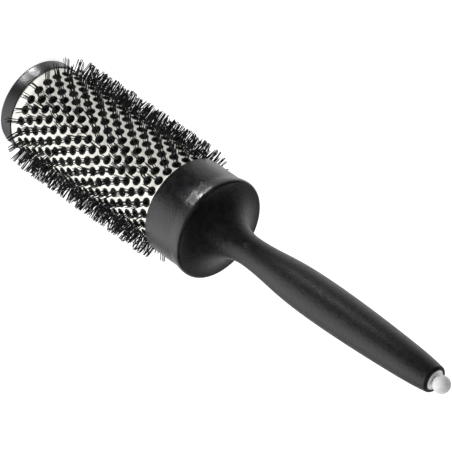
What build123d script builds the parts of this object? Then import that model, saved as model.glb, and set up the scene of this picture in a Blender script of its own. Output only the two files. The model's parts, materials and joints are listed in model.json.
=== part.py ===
"""Round hair brush: perforated metal barrel, bristle tufts, soft-skinned handle and a pull-out pick.

The brush axis is Z. The flat end of the tip ring lies on Z = 0 and the handle points up.
All sizes are millimetres.
"""

from build123d import *
import os
from math import pi, sqrt

# Fits
press_fit = 0.02            # gap between pieces pressed together
push_fit = 0.05             # gap between pieces pushed together by hand
sliding_fit = 0.05          # radial gap between the pick and its bush
seat_gap = 0.3              # gap between the ball and the dish it nests in

# Barrel tube
barrel_diameter = 43.0
barrel_wall = 0.9
exposed_barrel_length = 96.5        # between the tip ring and the collar
barrel_hidden_length = 14.0         # part of the tube inside the collar

# Bristle pattern: rings of holes, every second ring turned by half a step
holes_per_ring = 24
hole_ring_pitch = 5.085
first_ring_from_tip_ring = 6.15
least_ring_from_collar = 3.5
hole_diameter = 4.4
holes_per_sector_ring = 2           # holes of one ring that belong to one sector

# Tuft plugs and tufts
plug_flange_thickness = 0.8
plug_land_cover = 0.63              # share of the wall between two holes that their flanges cover
plug_proud = 0.2                    # how far a plug stands out of the barrel
plug_rim_chamfer = 0.2
tuft_root_diameter = 2.6
tuft_tip_diameter = 3.4
tuft_root_depth = 1.5
tuft_length = 8.0                   # visible length, outside the barrel

# Core sleeve, which backs the plugs
sleeve_wall = 1.2

# Tip ring and tip grille
tip_ring_length = 8.0
tip_ring_proud = 0.7                # how far the ring stands out past the barrel
tip_lip_height = 1.6                # inner lip under the end of the tube
tip_lip_width = 3.0
tip_nose_radius = 1.9
tip_edge_radius = 0.25
shadow_gap_width = 0.3              # groove between the ring and the barrel
shadow_gap_depth = 0.9
grille_recess = 0.5
grille_plate_thickness = 2.2
grille_skirt_height = 3.0
grille_skirt_wall = 1.1
grille_rim_width = 2.0              # plain rim outside the vents
vent_width = 2.0
vent_circle_gap = 1.25              # between the outer and the inner circle of vents
outer_vent_count = 18
outer_vent_length = 7.0
inner_vent_count = 9
inner_vent_length = 4.5

# Hub, which plugs the handle end of the tube
hub_shoulder_height = 3.0
hub_plate_thickness = 5.0
hub_wall = 3.0
hub_boss_diameter = 14.0
hub_boss_height = 6.0
hub_rib_count = 6
hub_rib_thickness = 1.6

# Pins that lock the tube to the hub
barrel_pin_count = 4
barrel_pin_diameter = 2.0
barrel_pin_length = 3.4
barrel_pin_from_tube_end = 6.0

# Collar
collar_length = 23.5
collar_wall = 2.25
collar_edge_radius = 0.6
collar_flare = 0.8                  # how far the rim swells past the straight part
collar_flare_length = 6.0
collar_lip_height = 1.6
collar_lip_width = 1.1
collar_land_width = 0.45            # narrow flat between the lip and the handle's flange
collar_counterbore_depth = 2.5

# Handle
handle_length = 135.4               # from the collar's rim to the end of the handle
trumpet_length = 20.1
neck_diameter = 14.0
waist_from_neck = 24.4
waist_diameter = 17.8
belly_from_neck = 52.0
belly_diameter = 19.5
taper_from_end = 23.0
taper_diameter = 16.7
handle_end_diameter = 12.4
handle_end_taper = 0.17             # inward slope of the skin where the handle ends
handle_end_wall = 1.5               # skin round the pick bush's flange
handle_end_land = 0.18              # flat left inside that skin's rounded edge
grip_thickness = 1.6
grip_end_thickness = 1.3

# Handle screw and washer
screw_diameter = 4.0
screw_length = 26.0
screw_head_diameter = 7.4
screw_head_height = 2.6
screw_head_radius = 0.8
screw_socket_diameter = 2.8
screw_socket_depth = 1.4
washer_diameter = 10.0
washer_thickness = 0.8

# Pick and its bush
pick_ball_diameter = 8.1
pick_ball_from_handle_end = 3.65    # height of the ball's centre above the handle
pick_shaft_diameter = 3.0
pick_reach = 76.0                   # from the handle's end down to the point
pick_taper_length = 14.0
pick_point_diameter = 1.0
pick_point_radius = 0.4
pick_root_depth = 3.0               # how far the shaft enters the ball
pick_bore_clearance = 0.5
pick_bore_extra_depth = 3.0
bush_wall = 1.65
bush_recess = 0.25
bush_sleeve_length = 14.0

# Radii
barrel_radius = barrel_diameter / 2
barrel_inner_radius = barrel_radius - barrel_wall
tip_ring_radius = barrel_radius + tip_ring_proud
tip_lip_radius = barrel_radius - tip_lip_width
hub_radius = barrel_inner_radius - push_fit
collar_bore_radius = barrel_radius + push_fit
collar_radius = collar_bore_radius + collar_wall
rim_radius = collar_radius + collar_flare
lip_radius = rim_radius - collar_lip_width
grip_seat_radius = lip_radius - collar_land_width
core_disc_radius = collar_bore_radius - push_fit
neck_radius = neck_diameter / 2
hub_boss_radius = hub_boss_diameter / 2
screw_radius = screw_diameter / 2
barrel_pin_radius = barrel_pin_diameter / 2
pick_ball_radius = pick_ball_diameter / 2
pick_shaft_radius = pick_shaft_diameter / 2
bush_flange_radius = handle_end_diameter / 2 - handle_end_wall
handle_end_radius = handle_end_wall - press_fit - handle_end_land
bush_sleeve_radius = pick_shaft_radius + sliding_fit + bush_wall
outer_vent_radius = tip_lip_radius - grille_rim_width - outer_vent_length / 2
outer_vents_inside = outer_vent_radius - outer_vent_length / 2
inner_vent_radius = outer_vents_inside - vent_circle_gap - inner_vent_length / 2

# Distances through the barrel wall, from the axis outwards
hole_radius = hole_diameter / 2
hole_spacing_inside = 2 * pi * (barrel_inner_radius - plug_flange_thickness) / holes_per_ring
plug_flange_radius = hole_radius + plug_land_cover * (hole_spacing_inside / 2 - hole_radius)
plug_flange_top = sqrt(barrel_inner_radius**2 - plug_flange_radius**2) - press_fit
plug_flange_bottom = plug_flange_top - plug_flange_thickness
plug_face = barrel_radius + plug_proud
plug_radius = hole_radius - push_fit
sleeve_radius = plug_flange_bottom - press_fit
tuft_root = plug_face - tuft_root_depth
tuft_tip = barrel_radius + tuft_length

# Heights, from the tip upwards
barrel_bottom = tip_lip_height + press_fit
grille_top = barrel_bottom + grille_skirt_height
sleeve_bottom = grille_top + push_fit
first_hole_ring = tip_ring_length + first_ring_from_tip_ring
collar_bottom = tip_ring_length + exposed_barrel_length
hole_ring_count = 1 + int((collar_bottom - least_ring_from_collar - first_hole_ring) / hole_ring_pitch)
last_hole_ring = first_hole_ring + (hole_ring_count - 1) * hole_ring_pitch
sleeve_top = last_hole_ring + plug_flange_radius
hub_bottom = sleeve_top + push_fit
barrel_top = collar_bottom + barrel_hidden_length
barrel_pin_height = barrel_top - barrel_pin_from_tube_end
hub_top = barrel_top + hub_shoulder_height
hub_plate_bottom = hub_top - hub_plate_thickness
hub_boss_bottom = hub_plate_bottom - hub_boss_height
screw_seat = hub_boss_bottom - washer_thickness
collar_rim = collar_bottom + collar_length
grip_seat = collar_rim - collar_counterbore_depth
neck_height = collar_rim + trumpet_length
handle_end = collar_rim + handle_length
core_end = handle_end - grip_end_thickness
ball_centre = handle_end + pick_ball_from_handle_end
pick_point = handle_end - pick_reach

hole_angle_step = 360 / holes_per_ring
sector_count = holes_per_ring // holes_per_sector_ring
from_below = (Align.CENTER, Align.CENTER, Align.MIN)

os.makedirs("parts", exist_ok=True)


def finish(part, label):
    """Name a finished piece and write it to its own file."""
    part.label = label
    export_step(part, f"parts/{label}.step")


def radial_plane(angle, height, distance):
    """A plane that faces straight out from the brush axis."""
    outward = Vector(1, 0, 0).rotate(Axis.Z, angle)
    return Plane(origin=outward * distance + Vector(0, 0, height), x_dir=(0, 0, 1), z_dir=outward)


def sector_planes(sector, distance):
    """Planes on the holes of one sector of the barrel, at one distance from the axis."""
    planes = []
    for ring in range(hole_ring_count):
        height = first_hole_ring + ring * hole_ring_pitch
        half_step = hole_angle_step / 2 * (ring % 2)
        for column in range(holes_per_sector_ring):
            angle = (sector * holes_per_sector_ring + column) * hole_angle_step + half_step
            planes.append(radial_plane(angle, height, distance))
    return planes


def pin_planes(distance):
    """Planes on the barrel pins, at one distance from the axis."""
    pin_step = 360 / barrel_pin_count
    return [radial_plane(number * pin_step, barrel_pin_height, distance) for number in range(barrel_pin_count)]


def draw_handle(inset, bottom, top):
    """Draw half of the handle's section: a trumpet, then a swelling grip, set in from the skin."""
    EllipticalCenterArc(
        (lip_radius, neck_height),
        lip_radius - neck_radius + inset,
        trumpet_length + inset,
        start_angle=180,
        arc_size=90,
    )
    Spline(
        (neck_radius - inset, neck_height),
        (waist_diameter / 2 - inset, neck_height + waist_from_neck),
        (belly_diameter / 2 - inset, neck_height + belly_from_neck),
        (taper_diameter / 2 - inset, handle_end - taper_from_end),
        (handle_end_diameter / 2 - inset, top),
        tangents=[(0, 1), (-handle_end_taper, 1)],
    )
    Polyline(
        (handle_end_diameter / 2 - inset, top),
        (0, top),
        (0, bottom),
        (lip_radius, bottom),
        (lip_radius, collar_rim - inset),
    )


# Barrel: a drawn tube with a staggered pattern of round holes
with BuildPart() as barrel_tube:
    with BuildSketch(Plane.XY.offset(barrel_bottom)):
        Circle(barrel_radius)
        Circle(barrel_inner_radius, mode=Mode.SUBTRACT)
    extrude(amount=barrel_top - barrel_bottom)
    inside_wall = barrel_inner_radius - barrel_wall
    drill_depth = 3 * barrel_wall
    for sector in range(sector_count):
        with Locations(*sector_planes(sector, inside_wall)):
            Cylinder(hole_radius, drill_depth, align=from_below, mode=Mode.SUBTRACT)
    with Locations(*pin_planes(inside_wall)):
        Cylinder(barrel_pin_radius + press_fit, drill_depth, align=from_below, mode=Mode.SUBTRACT)
finish(barrel_tube.part, "barrel_tube")

# Plugs and tufts, one pair of groups for each sector of the barrel
for sector in range(sector_count):
    # A plug is a flanged button that fills its hole from inside and holds the root of one tuft
    with BuildPart() as tuft_plugs:
        with Locations(*sector_planes(sector, plug_flange_bottom)):
            Cylinder(plug_flange_radius, plug_flange_thickness, align=from_below)
            Cylinder(plug_radius, plug_face - plug_rim_chamfer - plug_flange_bottom, align=from_below)
        with Locations(*sector_planes(sector, plug_face - plug_rim_chamfer)):
            Cone(plug_radius, plug_radius - plug_rim_chamfer, plug_rim_chamfer, align=from_below)
        with Locations(*sector_planes(sector, tuft_root)):
            Cylinder(
                tuft_root_diameter / 2 + press_fit,
                tuft_root_depth,
                align=from_below,
                mode=Mode.SUBTRACT,
            )
    finish(tuft_plugs.part, f"tuft_plugs_{sector + 1:02d}")

    # A tuft is a bundle of nylon filaments, narrow at the root and slightly fanned at the tip
    with BuildPart() as bristle_tufts:
        with Locations(*sector_planes(sector, tuft_root)):
            Cylinder(tuft_root_diameter / 2, tuft_root_depth, align=from_below)
        with Locations(*sector_planes(sector, plug_face)):
            Cone(tuft_root_diameter / 2, tuft_tip_diameter / 2, tuft_tip - plug_face, align=from_below)
    finish(bristle_tufts.part, f"bristle_tufts_{sector + 1:02d}")

# Core sleeve: keeps every plug pushed out against the wall of the barrel
with BuildPart() as core_sleeve:
    with BuildSketch(Plane.XY.offset(sleeve_bottom)):
        Circle(sleeve_radius)
        Circle(sleeve_radius - sleeve_wall, mode=Mode.SUBTRACT)
    extrude(amount=sleeve_top - sleeve_bottom)
finish(core_sleeve.part, "core_sleeve")

# Tip ring: closes round the free end of the tube, with an inner lip under it
with BuildPart() as tip_ring:
    with BuildSketch():
        Circle(tip_ring_radius)
        Circle(tip_lip_radius, mode=Mode.SUBTRACT)
    extrude(amount=tip_ring_length)
    with BuildSketch(Plane.XY.offset(tip_lip_height)):
        Circle(barrel_radius + press_fit)
    extrude(amount=tip_ring_length, mode=Mode.SUBTRACT)
    with BuildSketch(Plane.XY.offset(tip_ring_length - shadow_gap_depth)):
        Circle(barrel_radius + shadow_gap_width)
    extrude(amount=shadow_gap_depth, mode=Mode.SUBTRACT)
    nose_edge = tip_ring.edges().filter_by(GeomType.CIRCLE).group_by(Axis.Z)[0].sort_by(SortBy.RADIUS)[-1]
    fillet(nose_edge, radius=tip_nose_radius)
    back_edge = tip_ring.edges().filter_by(GeomType.CIRCLE).group_by(Axis.Z)[-1].sort_by(SortBy.RADIUS)[-1]
    fillet(back_edge, radius=tip_edge_radius)
finish(tip_ring.part, "tip_ring")

# Tip grille: a shallow cup behind the tip ring's lip, with two circles of vent slots
with BuildPart() as tip_grille:
    with BuildSketch(Plane.XY.offset(grille_recess)):
        Circle(tip_lip_radius - push_fit)
    extrude(amount=grille_plate_thickness)
    with BuildSketch(Plane.XY.offset(barrel_bottom)):
        Circle(hub_radius)
    extrude(amount=grille_skirt_height)
    with BuildSketch(Plane.XY.offset(grille_recess + grille_plate_thickness)):
        Circle(hub_radius - grille_skirt_wall)
    extrude(amount=grille_top, mode=Mode.SUBTRACT)
    with BuildSketch(Plane.XY.offset(grille_recess)):
        with PolarLocations(outer_vent_radius, outer_vent_count):
            SlotOverall(outer_vent_length, vent_width)
        with PolarLocations(inner_vent_radius, inner_vent_count):
            SlotOverall(inner_vent_length, vent_width)
    extrude(amount=grille_plate_thickness, mode=Mode.SUBTRACT)
finish(tip_grille.part, "tip_grille")

# Hub: a ribbed cup that plugs the handle end of the tube
with BuildPart() as hub:
    with BuildSketch(Plane.XY.offset(hub_bottom)):
        Circle(hub_radius)
        Circle(hub_radius - hub_wall, mode=Mode.SUBTRACT)
    extrude(amount=hub_top - hub_bottom)
    with BuildSketch(Plane.XY.offset(hub_plate_bottom)):
        Circle(hub_radius)
    extrude(amount=hub_plate_thickness)
    with BuildSketch(Plane.XY.offset(barrel_top + press_fit)):
        Circle(core_disc_radius)
    extrude(amount=hub_shoulder_height - press_fit)
    with BuildSketch(Plane.XY.offset(hub_boss_bottom)):
        Circle(hub_boss_radius)
        rib_length = hub_radius - hub_wall / 2 - hub_boss_radius / 2
        with PolarLocations(hub_boss_radius / 2 + rib_length / 2, hub_rib_count):
            Rectangle(rib_length, hub_rib_thickness)
    extrude(amount=hub_boss_height)
    with Locations((0, 0, hub_boss_bottom)):
        Cylinder(
            screw_radius + push_fit,
            hub_top - hub_boss_bottom,
            align=from_below,
            mode=Mode.SUBTRACT,
        )
    with Locations(*pin_planes(barrel_radius - barrel_pin_length - press_fit)):
        Cylinder(barrel_pin_radius + press_fit, barrel_pin_length, align=from_below, mode=Mode.SUBTRACT)
finish(hub.part, "hub")

# Barrel pins: plain dowels through the tube into the hub, covered by the collar
with BuildPart() as barrel_pins:
    with Locations(*pin_planes(barrel_radius - barrel_pin_length)):
        Cylinder(barrel_pin_radius, barrel_pin_length, align=from_below)
finish(barrel_pins.part, "barrel_pins")

# Collar: a thick sleeve over the end of the barrel, flared to a rounded rim
with BuildPart() as collar:
    with BuildSketch(Plane.XZ):
        with BuildLine():
            flare_start = collar_rim - collar_lip_height - collar_flare_length
            outside = Line((collar_radius, collar_bottom), (collar_radius, flare_start))
            flare = Spline(
                outside @ 1,
                (rim_radius, collar_rim - collar_lip_height),
                tangents=[(0, 1), (0, 1)],
            )
            lip = EllipticalCenterArc(
                (lip_radius, collar_rim - collar_lip_height),
                collar_lip_width,
                collar_lip_height,
                start_angle=0,
                arc_size=90,
            )
            Polyline(
                (lip_radius, collar_rim),
                (grip_seat_radius, collar_rim),
                (grip_seat_radius, grip_seat),
                (collar_bore_radius, grip_seat),
                (collar_bore_radius, collar_bottom),
                (collar_radius, collar_bottom),
            )
        make_face()
    revolve(axis=Axis.Z)
    front_edge = collar.edges().filter_by(GeomType.CIRCLE).group_by(Axis.Z)[0].sort_by(SortBy.RADIUS)[-1]
    fillet(front_edge, radius=collar_edge_radius)
finish(collar.part, "collar")

# Blank of the handle's core, before its bores: the soft grip is moulded round this shape
with BuildPart() as core_blank:
    with BuildSketch(Plane.XZ):
        with BuildLine():
            draw_handle(grip_thickness, hub_top, core_end)
        make_face()
        with Locations((0, hub_top)):
            Rectangle(
                core_disc_radius,
                core_end - hub_top,
                align=(Align.MIN, Align.MIN),
                mode=Mode.INTERSECT,
            )
    revolve(axis=Axis.Z)

# Handle core: rigid disc, neck and stem, with a screw hole below and the pick's bore above
with BuildPart() as handle_core:
    add(core_blank.part)
    with Locations((0, 0, hub_top)):
        screw_hole_depth = screw_seat + screw_length + washer_thickness - hub_top
        Cylinder(screw_radius + push_fit, screw_hole_depth, align=from_below, mode=Mode.SUBTRACT)
    with Locations((0, 0, pick_point - pick_bore_extra_depth)):
        Cylinder(
            pick_shaft_radius + pick_bore_clearance,
            handle_end - pick_point + pick_bore_extra_depth,
            align=from_below,
            mode=Mode.SUBTRACT,
        )
    with Locations((0, 0, core_end - bush_sleeve_length - press_fit)):
        Cylinder(
            bush_sleeve_radius + press_fit,
            bush_sleeve_length + press_fit,
            align=from_below,
            mode=Mode.SUBTRACT,
        )
finish(handle_core.part, "handle_core")

# Handle grip: the soft skin from the collar's rim to the end of the handle
with BuildPart() as handle_grip:
    with BuildSketch(Plane.XZ):
        with BuildLine():
            draw_handle(0, grip_seat + press_fit, handle_end)
        make_face()
        with Locations((0, grip_seat)):
            Rectangle(
                grip_seat_radius - press_fit,
                handle_end - grip_seat,
                align=(Align.MIN, Align.MIN),
                mode=Mode.INTERSECT,
            )
    revolve(axis=Axis.Z)
    end_edge = handle_grip.edges().filter_by(GeomType.CIRCLE).group_by(Axis.Z)[-1]
    fillet(end_edge, radius=handle_end_radius)
    add(core_blank.part, mode=Mode.SUBTRACT)
    with Locations((0, 0, core_end)):
        Cylinder(
            bush_flange_radius + press_fit,
            grip_end_thickness,
            align=from_below,
            mode=Mode.SUBTRACT,
        )
finish(handle_grip.part, "handle_grip")

# Washer and screw that hold the handle core to the hub
with BuildPart() as screw_washer:
    with BuildSketch(Plane.XY.offset(screw_seat)):
        Circle(washer_diameter / 2)
        Circle(screw_radius + push_fit, mode=Mode.SUBTRACT)
    extrude(amount=washer_thickness)
finish(screw_washer.part, "screw_washer")

with BuildPart() as handle_screw:
    with BuildSketch(Plane.XY.offset(screw_seat - screw_head_height)):
        Circle(screw_head_diameter / 2)
    extrude(amount=screw_head_height)
    fillet(handle_screw.edges().group_by(Axis.Z)[0], radius=screw_head_radius)
    with BuildSketch(Plane.XY.offset(screw_seat)):
        Circle(screw_radius)
    extrude(amount=screw_length)
    with BuildSketch(Plane.XY.offset(screw_seat - screw_head_height)):
        RegularPolygon(screw_socket_diameter / 2, 6)
    extrude(amount=screw_socket_depth, mode=Mode.SUBTRACT)
finish(handle_screw.part, "handle_screw")

# Pick bush: a flanged liner in the end of the handle, dished for the ball
with BuildPart() as pick_bush:
    with BuildSketch(Plane.XY.offset(core_end)):
        Circle(bush_flange_radius)
    extrude(amount=grip_end_thickness - bush_recess)
    with BuildSketch(Plane.XY.offset(core_end - bush_sleeve_length)):
        Circle(bush_sleeve_radius)
    extrude(amount=bush_sleeve_length)
    with Locations((0, 0, core_end - bush_sleeve_length)):
        Cylinder(
            pick_shaft_radius + sliding_fit,
            bush_sleeve_length + grip_end_thickness,
            align=from_below,
            mode=Mode.SUBTRACT,
        )
    with Locations((0, 0, ball_centre)):
        Sphere(pick_ball_radius + seat_gap, mode=Mode.SUBTRACT)
finish(pick_bush.part, "pick_bush")

# Pick shaft: a round spike with a long taper and a blunt point
with BuildPart() as pick_shaft:
    with BuildSketch(Plane.XZ):
        with BuildLine():
            shaft_top = ball_centre - pick_ball_radius + pick_root_depth
            Polyline(
                (0, pick_point),
                (pick_point_diameter / 2, pick_point),
                (pick_shaft_radius, pick_point + pick_taper_length),
                (pick_shaft_radius, shaft_top),
                (0, shaft_top),
                close=True,
            )
        make_face()
    revolve(axis=Axis.Z)
    fillet(pick_shaft.edges().filter_by(GeomType.CIRCLE).group_by(Axis.Z)[0], radius=pick_point_radius)
finish(pick_shaft.part, "pick_shaft")

# Pick ball: the knob that is pulled to draw the pick out
with BuildPart() as pick_ball:
    with Locations((0, 0, ball_centre)):
        Sphere(pick_ball_radius)
    with Locations((0, 0, shaft_top + press_fit)):
        Cylinder(
            pick_shaft_radius + press_fit,
            pick_ball_diameter,
            align=(Align.CENTER, Align.CENTER, Align.MAX),
            mode=Mode.SUBTRACT,
        )
finish(pick_ball.part, "pick_ball")
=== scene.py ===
"""Looks of the round hair brush: filaments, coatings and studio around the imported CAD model.

Everything is in metres, in the frame of the CAD model: the brush stands on its tip at Z = 0,
with its axis along Z and its handle up.
"""

import json
import math
import random

import bpy
from mathutils import Matrix, Vector


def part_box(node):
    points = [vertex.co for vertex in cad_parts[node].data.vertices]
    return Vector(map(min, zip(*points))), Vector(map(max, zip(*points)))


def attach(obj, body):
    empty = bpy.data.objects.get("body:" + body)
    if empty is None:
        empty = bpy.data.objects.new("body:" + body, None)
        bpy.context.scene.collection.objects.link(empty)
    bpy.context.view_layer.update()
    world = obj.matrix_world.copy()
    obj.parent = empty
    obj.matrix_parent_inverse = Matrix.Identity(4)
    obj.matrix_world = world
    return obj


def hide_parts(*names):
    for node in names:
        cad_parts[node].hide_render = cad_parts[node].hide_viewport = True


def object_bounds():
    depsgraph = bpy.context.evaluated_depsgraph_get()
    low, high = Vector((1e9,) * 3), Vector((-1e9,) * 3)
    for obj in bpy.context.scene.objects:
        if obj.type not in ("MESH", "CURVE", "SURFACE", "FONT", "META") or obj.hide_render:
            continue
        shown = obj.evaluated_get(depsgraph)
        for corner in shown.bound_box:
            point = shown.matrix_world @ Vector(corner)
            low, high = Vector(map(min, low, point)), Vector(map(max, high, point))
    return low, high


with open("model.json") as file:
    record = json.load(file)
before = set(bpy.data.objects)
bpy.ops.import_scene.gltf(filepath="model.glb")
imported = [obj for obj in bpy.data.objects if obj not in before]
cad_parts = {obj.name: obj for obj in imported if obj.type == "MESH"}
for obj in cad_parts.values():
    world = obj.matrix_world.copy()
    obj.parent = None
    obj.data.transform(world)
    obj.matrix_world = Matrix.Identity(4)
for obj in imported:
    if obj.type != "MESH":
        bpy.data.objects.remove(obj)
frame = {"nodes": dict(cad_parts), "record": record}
cad_low, cad_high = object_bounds()
nodes = frame["nodes"]
millimetre = 0.001

# Bristle pattern: rings of tufts, every second ring turned by half a step
tufts_per_ring = 24
tuft_ring_count = 18
tufts_per_sector_ring = 2
column_tip_radius = 1.7 * millimetre        # end of the plain column that a tuft is in the CAD model

# Filaments of one tuft
filaments_per_tuft = 6
filament_radius = 0.22 * millimetre
filament_tip_share = 0.8                    # radius at the tip, as a share of the radius at the root
tip_round_share = 0.6                       # radius and height of the ring that rounds the tip, in tip radii
tip_round_height = 0.85                     # height of the very end, in tip radii
filament_sides = 6
filament_rings = 7
root_circle_radius = 1.0 * millimetre       # where the filaments leave the plug
tip_circle_radius = 1.25 * millimetre       # where they end
length_spread = 0.07                        # share by which a filament may be cut short
lean_spread = 0.9 * millimetre              # how far a whole tuft leans at its tip
lean_power = 1.5                            # how the lean grows along a filament
least_spread = 0.7                          # range of a filament's place, as a share of the circle's radius
greatest_spread = 1.1
turn_spread = 0.2                           # how far a filament strays round the circle, in radians
stray_spread = 0.16 * millimetre            # how far one filament strays from its place in the tuft
bow_spread = 0.12 * millimetre              # how far one filament bows
bent_share = 0.035                          # share of the filaments that are bent by use
bent_gain = 7.0                             # how much further a bent filament strays and bows
root_sink = 0.6 * millimetre                # part of a filament that is inside its plug
first_seed = 1000                           # random seed of the first sector

# Camera
camera_elevation = math.radians(35.73)
camera_azimuth = math.radians(-90.84)
camera_roll = math.radians(124.78)
camera_distance = 1.4689
camera_lens = 264.8
aim_height_share = 0.4773                   # of the brush's height
aim_right = -1.72 * millimetre              # where the aim point lies in the picture, from its centre
aim_up = -2.47 * millimetre

# Studio: soft fields of light that only reflections see, as direction, inner and outer angle, and strength
reflection_floor = 0.03
reflection_fields = (
    ((0.742, -0.346, -0.574), 15, 48, 1.8),     # low on the right: the lit side of the handle
    ((-0.84, 0.3, -0.45), 15, 42, 0.8),         # low on the left, softer
    ((0.0, 1.0, -0.35), 25, 70, 0.8),           # behind: bright edges
)
# Snoots: narrow lamps for single highlights, each aimed at a place on a node. The columns are the name,
# the node, the angle round the axis in degrees, the depth inside the node's outer radius and the height
# above its top in mm, the direction toward the lamp, the radius of its spot in mm, and its power
snoot_distance = 0.5
snoot_lamp_radius = 0.003
snoots = (
    ("ring_snoot_left", "tip_ring", -107.05, 0.03, -11.0, (-0.42, -0.64, -0.643), 9.5, 6.0),
    ("ring_snoot_right", "tip_ring", -121.18, 0.0, -11.0, (-0.68, -0.37, -0.643), 9.5, 9.0),
    ("lip_snoot_left", "collar", -98.23, 0.15, -4.2, (-0.2, -0.62, -0.76), 5.0, 1.8),
    ("lip_snoot_middle", "collar", -107.92, 0.22, -1.4, (-0.42, -0.52, -0.74), 6.0, 4.0),
    ("lip_snoot_right", "collar", -119.4, 0.15, 0.0, (-0.63, -0.36, -0.69), 6.0, 2.5),
    ("handle_snoot", "handle_grip", -108.43, 13.54, -63.4, (-0.5, -0.65, -0.56), 45.0, 1.5),
)

# Area lights, which reflections don't see, as place, size and power
area_lights = (
    ("key", (1.0, -1.0, 0.35), 0.9, 22),
    ("fill", (-1.1, -0.9, 0.6), 1.2, 7),
    ("back", (0.1, 1.1, 1.2), 1.2, 14),
)

# Surroundings
backdrop_radius = 9.0
floor_glow = 0.86
backdrop_glow = 0.93
backdrop_sides = 96
surround_shade = 0.5


def new_node(tree, kind, **inputs):
    """Add a shader node and set its sockets by name."""
    node = tree.nodes.new(kind)
    for name, value in inputs.items():
        node.inputs[name.replace("_", " ")].default_value = value
    return node


def make_material(name, dark, light, roughness, roughness_spread=0.05, patch=6.0, grain=0.35, depth=0.02):
    """A procedural finish: colour and gloss that vary over patches, and a fine grain (sizes in mm)."""
    material = bpy.data.materials.new(name)
    material.use_nodes = True
    tree = material.node_tree
    shader = tree.nodes["Principled BSDF"]
    place = tree.nodes.new("ShaderNodeTexCoord")
    patches = new_node(tree, "ShaderNodeTexNoise", Scale=1 / (patch * millimetre), Detail=3.0)
    tree.links.new(place.outputs["Object"], patches.inputs["Vector"])
    colour = tree.nodes.new("ShaderNodeValToRGB")
    colour.color_ramp.elements[0].position = 0.35
    colour.color_ramp.elements[0].color = (*dark, 1)
    colour.color_ramp.elements[1].position = 0.65
    colour.color_ramp.elements[1].color = (*light, 1)
    tree.links.new(patches.outputs["Fac"], colour.inputs["Fac"])
    tree.links.new(colour.outputs["Color"], shader.inputs["Base Color"])
    gloss = new_node(tree, "ShaderNodeMapRange", From_Min=0.3, From_Max=0.7)
    gloss.inputs["To Min"].default_value = roughness - roughness_spread
    gloss.inputs["To Max"].default_value = roughness + roughness_spread
    tree.links.new(patches.outputs["Fac"], gloss.inputs["Value"])
    tree.links.new(gloss.outputs["Result"], shader.inputs["Roughness"])
    grains = new_node(tree, "ShaderNodeTexNoise", Scale=1 / (grain * millimetre), Detail=2.0)
    tree.links.new(place.outputs["Object"], grains.inputs["Vector"])
    bump = new_node(tree, "ShaderNodeBump", Strength=1.0, Distance=depth * millimetre)
    tree.links.new(grains.outputs["Fac"], bump.inputs["Height"])
    tree.links.new(bump.outputs["Normal"], shader.inputs["Normal"])
    return material


def make_materials():
    """One finish for each material slot of the record."""
    made = {
        "ceramic_coated_barrel": make_material(
            "ivory_ceramic", (0.79, 0.78, 0.715), (0.83, 0.82, 0.76), 0.38, patch=9, grain=1.2, depth=0.01
        ),
        "plug_plastic": make_material(
            "black_plug", (0.003, 0.003, 0.003), (0.006, 0.006, 0.006), 0.6, patch=2
        ),
        "bristle_nylon": make_material(
            "black_nylon", (0.003, 0.003, 0.004), (0.008, 0.008, 0.01), 0.3, patch=1.5, grain=0.5, depth=0.01
        ),
        "tip_plastic": make_material(
            "tip_plastic_satin", (0.006, 0.006, 0.0065), (0.011, 0.011, 0.012), 0.34,
            patch=3, grain=0.9, depth=0.08
        ),
        "collar_plastic": make_material(
            "collar_satin", (0.006, 0.006, 0.007), (0.012, 0.012, 0.013), 0.29, patch=3, grain=1.1, depth=0.13
        ),
        "soft_grip": make_material(
            "soft_skin", (0.004, 0.004, 0.0043), (0.008, 0.008, 0.0084), 0.44, patch=3, grain=1.0, depth=0.2
        ),
        "inner_plastic": make_material("inner_black", (0.02, 0.02, 0.02), (0.03, 0.03, 0.03), 0.5),
        "white_plastic": make_material("white_gloss", (0.82, 0.82, 0.82), (0.88, 0.88, 0.88), 0.3),
        "pearl_plastic": make_material("pearl", (0.52, 0.52, 0.52), (0.57, 0.57, 0.565), 0.28, patch=3),
        "steel": make_material("drawn_steel", (0.5, 0.5, 0.51), (0.62, 0.62, 0.63), 0.3),
    }
    made["steel"].node_tree.nodes["Principled BSDF"].inputs["Metallic"].default_value = 1.0
    return made


def filament_line(rng, start, outward, across, lean, turn, spread, length):
    """Centre line of one filament, from inside its plug to its tip."""
    along = Vector((0, 0, 1))
    direction = across * math.cos(turn) + along * math.sin(turn)
    gain = bent_gain if rng.random() < bent_share else 1.0
    stray = (across * rng.gauss(0, stray_spread) + along * rng.gauss(0, stray_spread)) * gain
    bow = (across * rng.gauss(0, bow_spread) + along * rng.gauss(0, bow_spread)) * gain
    root = start + direction * root_circle_radius * spread
    reach = direction * (tip_circle_radius - root_circle_radius) * spread + lean + stray
    points = []
    for ring in range(filament_rings):
        share = ring / (filament_rings - 1)
        height = (length + root_sink) * share - root_sink
        points.append(root + outward * height + reach * share**lean_power + bow * math.sin(math.pi * share))
    return points


def add_ring(vertices, centre, across, radius):
    """Add one ring of a filament's skin."""
    along = Vector((0, 0, 1))
    for side in range(filament_sides):
        turn = 2 * math.pi * side / filament_sides
        vertices.append(centre + (across * math.cos(turn) + along * math.sin(turn)) * radius)


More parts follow.
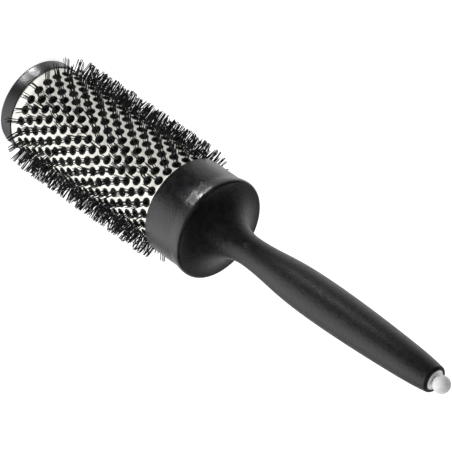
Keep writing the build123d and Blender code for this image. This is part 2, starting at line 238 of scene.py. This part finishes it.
def add_filament(vertices, faces, points, across):
    """Add one filament to a mesh: a tapered rod, closed at its root and rounded at its tip."""
    base = len(vertices)
    for ring, point in enumerate(points):
        share = ring / (filament_rings - 1)
        add_ring(vertices, point, across, filament_radius * (1 - (1 - filament_tip_share) * share))
    tip_radius = filament_radius * filament_tip_share
    direction = (points[-1] - points[-2]).normalized()
    round_radius = tip_radius * tip_round_share
    add_ring(vertices, points[-1] + direction * round_radius, across, round_radius)
    vertices.append(points[-1] + direction * tip_radius * tip_round_height)
    for ring in range(filament_rings):
        for side in range(filament_sides):
            near = base + ring * filament_sides + side
            far = base + ring * filament_sides + (side + 1) % filament_sides
            faces.append((near, far, far + filament_sides, near + filament_sides))
    last = base + filament_rings * filament_sides
    for side in range(filament_sides):
        faces.append((last + side, last + (side + 1) % filament_sides, last + filament_sides))
    faces.append(tuple(base + side for side in reversed(range(filament_sides))))


def tuft_places(sector, low, high):
    """Height and angle of every tuft of one sector."""
    first = low.z + column_tip_radius
    pitch = (high.z - column_tip_radius - first) / (tuft_ring_count - 1)
    step = 2 * math.pi / tufts_per_ring
    for ring in range(tuft_ring_count):
        for column in range(tufts_per_sector_ring):
            yield first + ring * pitch, (sector * tufts_per_sector_ring + column + 0.5 * (ring % 2)) * step


def make_filaments(name, material):
    """All the filaments of one sector of the barrel, as one mesh."""
    sector = int(name) - 1
    rng = random.Random(first_seed + sector)
    low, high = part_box("bristle_tufts_" + name)
    barrel_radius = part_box("barrel_tube")[1].x
    tuft_length = cad_high.x - barrel_radius
    vertices, faces = [], []
    for height, angle in tuft_places(sector, low, high):
        outward = Vector((math.cos(angle), math.sin(angle), 0))
        across = Vector((-math.sin(angle), math.cos(angle), 0))
        start = outward * barrel_radius + Vector((0, 0, height))
        lean = across * rng.gauss(0, lean_spread) + Vector((0, 0, rng.gauss(0, lean_spread)))
        phase = rng.uniform(0, 2 * math.pi)
        for number in range(filaments_per_tuft):
            spread = rng.uniform(least_spread, greatest_spread)
            turn = phase + 2 * math.pi * number / filaments_per_tuft + rng.gauss(0, turn_spread)
            length = tuft_length * (1 - abs(rng.gauss(0, length_spread)))
            line = filament_line(rng, start, outward, across, lean, turn, spread, length)
            add_filament(vertices, faces, line, across)
    mesh = bpy.data.meshes.new("filaments_" + name)
    mesh.from_pydata([tuple(vertex) for vertex in vertices], [], faces)
    mesh.polygons.foreach_set("use_smooth", [True] * len(mesh.polygons))
    mesh.materials.append(material)
    piece = bpy.data.objects.new("filaments_" + name, mesh)
    bpy.context.scene.collection.objects.link(piece)
    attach(piece, "brush")
    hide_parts("bristle_tufts_" + name)


def dress_nodes(materials):
    """Give every CAD node the finish of its material slot."""
    for subpart in frame["record"]["subparts"]:
        node = nodes[subpart["node"]]
        node.data.materials.clear()
        node.data.materials.append(materials[subpart["material_slot"]])


def glowing_material(name, shade, glow):
    """A pale matt surface that also gives off an even white light."""
    material = make_material(name, (shade,) * 3, (shade + 0.02,) * 3, 0.9, patch=300, grain=60, depth=0.1)
    shader = material.node_tree.nodes["Principled BSDF"]
    shader.inputs["Specular IOR Level"].default_value = 0.0
    shader.inputs["Emission Color"].default_value = (1, 1, 1, 1)
    shader.inputs["Emission Strength"].default_value = glow
    return material


def make_floor():
    """A pale studio floor that glows, so that it stays light under the brush."""
    half = backdrop_radius
    mesh = bpy.data.meshes.new("floor")
    corners = [(-half, -half, 0), (half, -half, 0), (half, half, 0), (-half, half, 0)]
    mesh.from_pydata(corners, [], [(0, 1, 2, 3)])
    mesh.materials.append(glowing_material("pale_floor", surround_shade, floor_glow))
    floor = bpy.data.objects.new("floor", mesh)
    bpy.context.scene.collection.objects.link(floor)
    floor.visible_glossy = False
    floor.visible_shadow = False


def make_backdrop():
    """A plain pale wall all round, which the camera sees and which lights nothing."""
    height = backdrop_radius / 2
    vertices = []
    for level in (0.0, height):
        for side in range(backdrop_sides):
            turn = 2 * math.pi * side / backdrop_sides
            vertices.append((backdrop_radius * math.cos(turn), backdrop_radius * math.sin(turn), level))
    faces = []
    for side in range(backdrop_sides):
        following = (side + 1) % backdrop_sides
        faces.append((side, following, following + backdrop_sides, side + backdrop_sides))
    mesh = bpy.data.meshes.new("backdrop")
    mesh.from_pydata(vertices, [], faces)
    mesh.materials.append(glowing_material("pale_backdrop", surround_shade, backdrop_glow))
    backdrop = bpy.data.objects.new("backdrop", mesh)
    bpy.context.scene.collection.objects.link(backdrop)
    backdrop.visible_diffuse = False
    backdrop.visible_glossy = False
    backdrop.visible_shadow = False


def make_world():
    """The fields of light that the glossy surfaces reflect."""
    world = bpy.data.worlds.new("studio")
    bpy.context.scene.world = world
    world.use_nodes = True
    tree = world.node_tree
    background = tree.nodes["Background"]
    background.inputs["Color"].default_value = (1, 1, 1, 1)
    place = tree.nodes.new("ShaderNodeTexCoord")
    total = None
    for direction, inner, outer, amount in reflection_fields:
        facing = tree.nodes.new("ShaderNodeVectorMath")
        facing.operation = "DOT_PRODUCT"
        facing.inputs[1].default_value = Vector(direction).normalized()
        tree.links.new(place.outputs["Generated"], facing.inputs[0])
        field = tree.nodes.new("ShaderNodeMapRange")
        field.interpolation_type = "SMOOTHSTEP"
        field.inputs["From Min"].default_value = math.cos(math.radians(outer))
        field.inputs["From Max"].default_value = math.cos(math.radians(inner))
        field.inputs["To Max"].default_value = amount
        tree.links.new(facing.outputs["Value"], field.inputs["Value"])
        added = tree.nodes.new("ShaderNodeMath")
        added.inputs[1].default_value = reflection_floor
        tree.links.new(field.outputs["Result"], added.inputs[0])
        if total is not None:
            tree.links.new(total, added.inputs[1])
        total = added.outputs["Value"]
    tree.links.new(total, background.inputs["Strength"])


def add_area_light(name, place, target, size, power):
    """A square soft light that faces the target."""
    light = bpy.data.lights.new(name, "AREA")
    light.size = size
    light.energy = power
    lamp = bpy.data.objects.new(name, light)
    lamp.location = place
    lamp.rotation_euler = (target - place).to_track_quat("-Z", "Y").to_euler()
    lamp.visible_glossy = False
    bpy.context.scene.collection.objects.link(lamp)


def add_snoot(name, node_name, turn, depth, rise, direction, radius, power):
    """A lamp with a narrow cone that fades out toward its edge."""
    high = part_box(node_name)[1]
    angle = math.radians(turn)
    from_axis = high.x - depth * millimetre
    target = Vector((from_axis * math.cos(angle), from_axis * math.sin(angle), high.z + rise * millimetre))
    light = bpy.data.lights.new(name, "SPOT")
    light.shadow_soft_size = snoot_lamp_radius
    light.spot_size = 2 * math.atan(radius * millimetre / snoot_distance)
    light.spot_blend = 1.0
    light.energy = power
    lamp = bpy.data.objects.new(name, light)
    toward = Vector(direction).normalized()
    lamp.location = target + toward * snoot_distance
    lamp.rotation_euler = toward.to_track_quat("Z", "Y").to_euler()
    bpy.context.scene.collection.objects.link(lamp)


def make_camera():
    """A long-lens camera above the brush's front, rolled so that the handle points down to the right."""
    toward = Vector(
        (
            math.cos(camera_elevation) * math.cos(camera_azimuth),
            math.cos(camera_elevation) * math.sin(camera_azimuth),
            math.sin(camera_elevation),
        )
    )
    level_right = Vector((0, 0, 1)).cross(toward).normalized()
    level_up = toward.cross(level_right)
    right = level_right * math.cos(camera_roll) + level_up * math.sin(camera_roll)
    up = level_up * math.cos(camera_roll) - level_right * math.sin(camera_roll)
    aim = Vector((0, 0, cad_low.z + aim_height_share * (cad_high.z - cad_low.z)))
    place = aim + toward * camera_distance - right * aim_right - up * aim_up
    data = bpy.data.cameras.new("camera")
    data.lens = camera_lens
    data.sensor_width = 36.0
    camera = bpy.data.objects.new("camera", data)
    camera.matrix_world = Matrix.Translation(place) @ Matrix((right, up, toward)).transposed().to_4x4()
    bpy.context.scene.collection.objects.link(camera)
    bpy.context.scene.camera = camera


materials = make_materials()
dress_nodes(materials)
for node_name in sorted(nodes):
    if node_name.startswith("bristle_tufts_"):
        make_filaments(node_name.removeprefix("bristle_tufts_"), materials["bristle_nylon"])

make_floor()
make_backdrop()
make_world()
middle = Vector((0, 0, (cad_low.z + cad_high.z) / 2))
for lamp_name, lamp_place, lamp_size, lamp_power in area_lights:
    add_area_light(lamp_name, Vector(lamp_place), middle, lamp_size, lamp_power)
for snoot in snoots:
    add_snoot(*snoot)
bpy.context.scene.view_settings.view_transform = "Standard"
make_camera()
